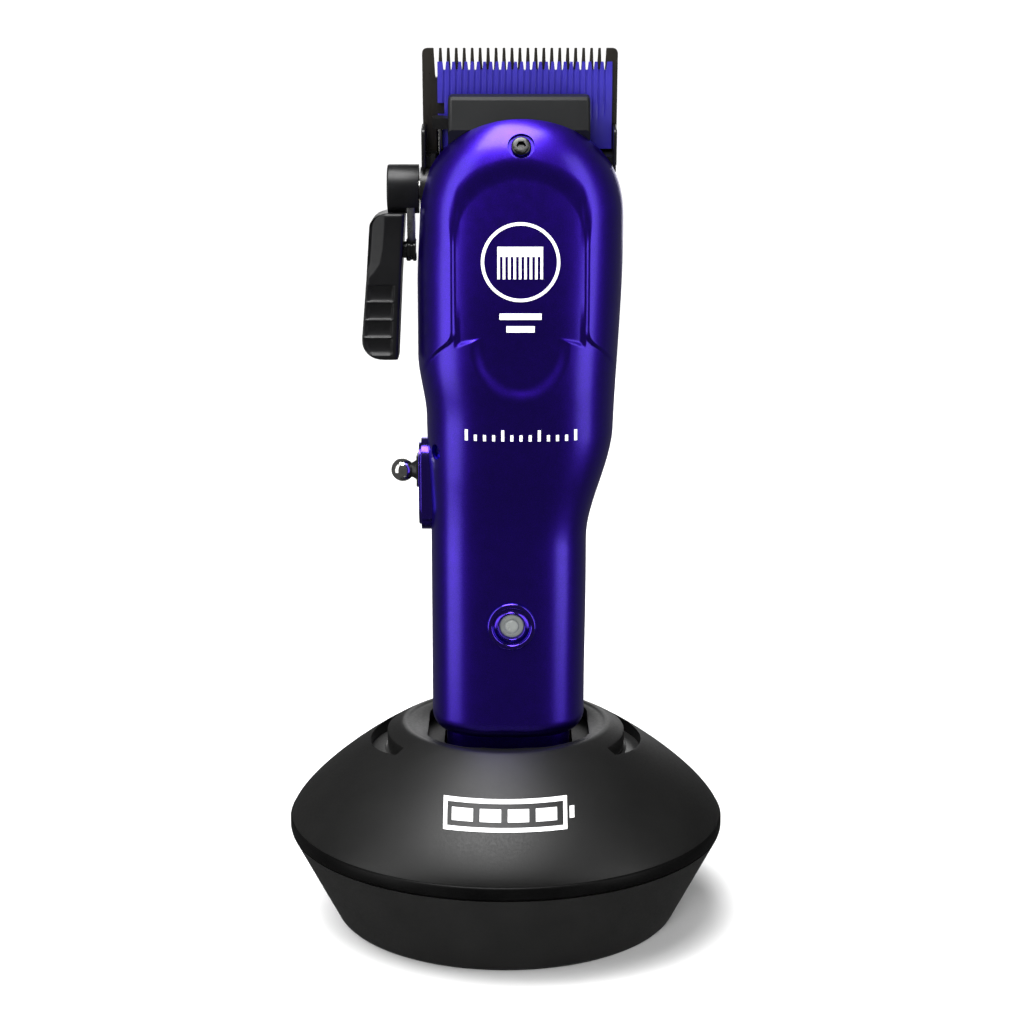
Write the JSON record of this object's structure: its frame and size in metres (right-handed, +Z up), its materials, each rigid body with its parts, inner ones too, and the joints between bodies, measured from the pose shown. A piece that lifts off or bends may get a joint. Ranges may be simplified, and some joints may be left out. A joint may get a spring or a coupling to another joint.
{
  "type": "hair clipper",
  "caption": "Cordless hair clipper with a taper lever, sliding power switch and oscillating blade, standing in a round charging dock it lifts out of.",
  "frame": {"origin": "middle of the dock's underside, on the table", "axes": "+Z up, along the clipper towards its blades; -Y out of the clipper's front lid; +X to the right seen from the lid, so the lever and switch are on the -X side"},
  "size_m": [0.1088, 0.1088, 0.2151],
  "materials": {
    "dock_plastic": "satin moulded black",
    "trim_plastic": "satin moulded black",
    "well_plastic": "matt black",
    "foot_rubber": "matt",
    "shell_paint": "metallic violet satin lacquer",
    "bezel_metal": "polished violet",
    "light_lens": "translucent satin",
    "frame_plastic": "satin black",
    "cover_plastic": "satin dark grey",
    "lever_plastic": "satin black",
    "blade_black": "dark coated",
    "blade_violet": "blue-violet coated satin",
    "plain_steel": "satin",
    "dark_screw": "dark zinc",
    "polished_steel": "polished",
    "contact_brass": "gold plated",
    "board_green": "solder mask",
    "chip_black": "matt",
    "cell_wrap": "shrink wrap",
    "nylon": "natural"
  },
  "bodies": {
    "dock": {"dock_base": "dock_plastic", "dock_trim_ring": "trim_plastic", "dock_shell": "dock_plastic", "dock_well": "well_plastic", "dock_feet": "foot_rubber", "dock_ballast": "plain_steel", "dock_board": "board_green", "dock_socket": "plain_steel", "dock_screws": "dark_screw", "contact_sleeves": "contact_brass"},
    "left_pin": {"left_contact_pin": "contact_brass"},
    "right_pin": {"right_contact_pin": "contact_brass"},
    "clipper": {"front_lid": "shell_paint", "rear_lid": "shell_paint", "tail_cap": "frame_plastic", "charge_pads": "contact_brass", "light_bezel": "bezel_metal", "light_lens": "light_lens", "switch_bezel": "bezel_metal", "side_screw": "dark_screw", "head_screw": "dark_screw", "rear_lid_screws": "dark_screw", "head_frame": "frame_plastic", "blade_guards": "frame_plastic", "inner_frame": "frame_plastic", "battery_cell": "cell_wrap", "battery_tabs": "plain_steel", "circuit_board": "board_green", "board_parts": "chip_black", "motor_can": "plain_steel", "motor_end_cap": "frame_plastic", "motor_screws": "dark_screw", "lever_bush": "contact_brass", "blade_cover": "cover_plastic", "fixed_blade": "blade_black", "blade_screws": "dark_screw"},
    "rotor": {"rotor_shaft": "plain_steel", "eccentric_cam": "plain_steel"},
    "carriage": {"blade_carriage": "frame_plastic", "link_rod": "polished_steel", "tension_spring": "plain_steel"},
    "cutter": {"moving_blade": "blade_violet", "cam_follower": "nylon", "follower_screws": "dark_screw"},
    "lever": {"lever_shaft": "plain_steel", "lever_hub": "lever_plastic", "lever_plate": "plain_steel", "lever_post": "lever_plastic", "lever_paddle": "lever_plastic"},
    "switch": {"switch_slider": "frame_plastic", "switch_ball": "polished_steel"}
  },
  "joints": [
    {"name": "clipper_lift", "type": "slide", "parent": "dock", "child": "clipper", "axis": [0, 0, 1], "range_m": [0, 0.06]},
    {"name": "left_pin_press", "type": "slide", "parent": "dock", "child": "left_pin", "axis": [0, 0, 1], "range_m": [-0.001, 0], "stiffness_N_per_m": 60},
    {"name": "right_pin_press", "type": "slide", "parent": "dock", "child": "right_pin", "axis": [0, 0, 1], "range_m": [-0.001, 0], "stiffness_N_per_m": 60},
    {"name": "motor_spin", "type": "hinge", "parent": "clipper", "child": "rotor", "pos_m": [0.0035, -0.002, 0.17], "axis": [0, 0, 1], "range_deg": [-110, 0]},
    {"name": "taper_lever", "type": "hinge", "parent": "clipper", "child": "lever", "pos_m": [-0.02, 0, 0.182], "axis": [-1, 0, 0], "range_deg": [0, 40]},
    {"name": "blade_taper", "type": "slide", "parent": "clipper", "child": "carriage", "axis": [0, -0.1736, 0.9848], "range_m": [0, 0.0026]},
    {"name": "cutter_stroke", "type": "slide", "parent": "carriage", "child": "cutter", "axis": [1, 0, 0], "range_m": [-0.0023, 0]},
    {"name": "power_switch", "type": "slide", "parent": "clipper", "child": "switch", "axis": [0, 0, 1], "range_m": [-0.0045, 0]}
  ],
  "couplings": [
    {"joint": "blade_taper", "follows": "taper_lever", "m_per_rad": 0.003581},
    {"joint": "cutter_stroke", "follows": "motor_spin", "m_per_rad": 0.0011936}
  ]
}
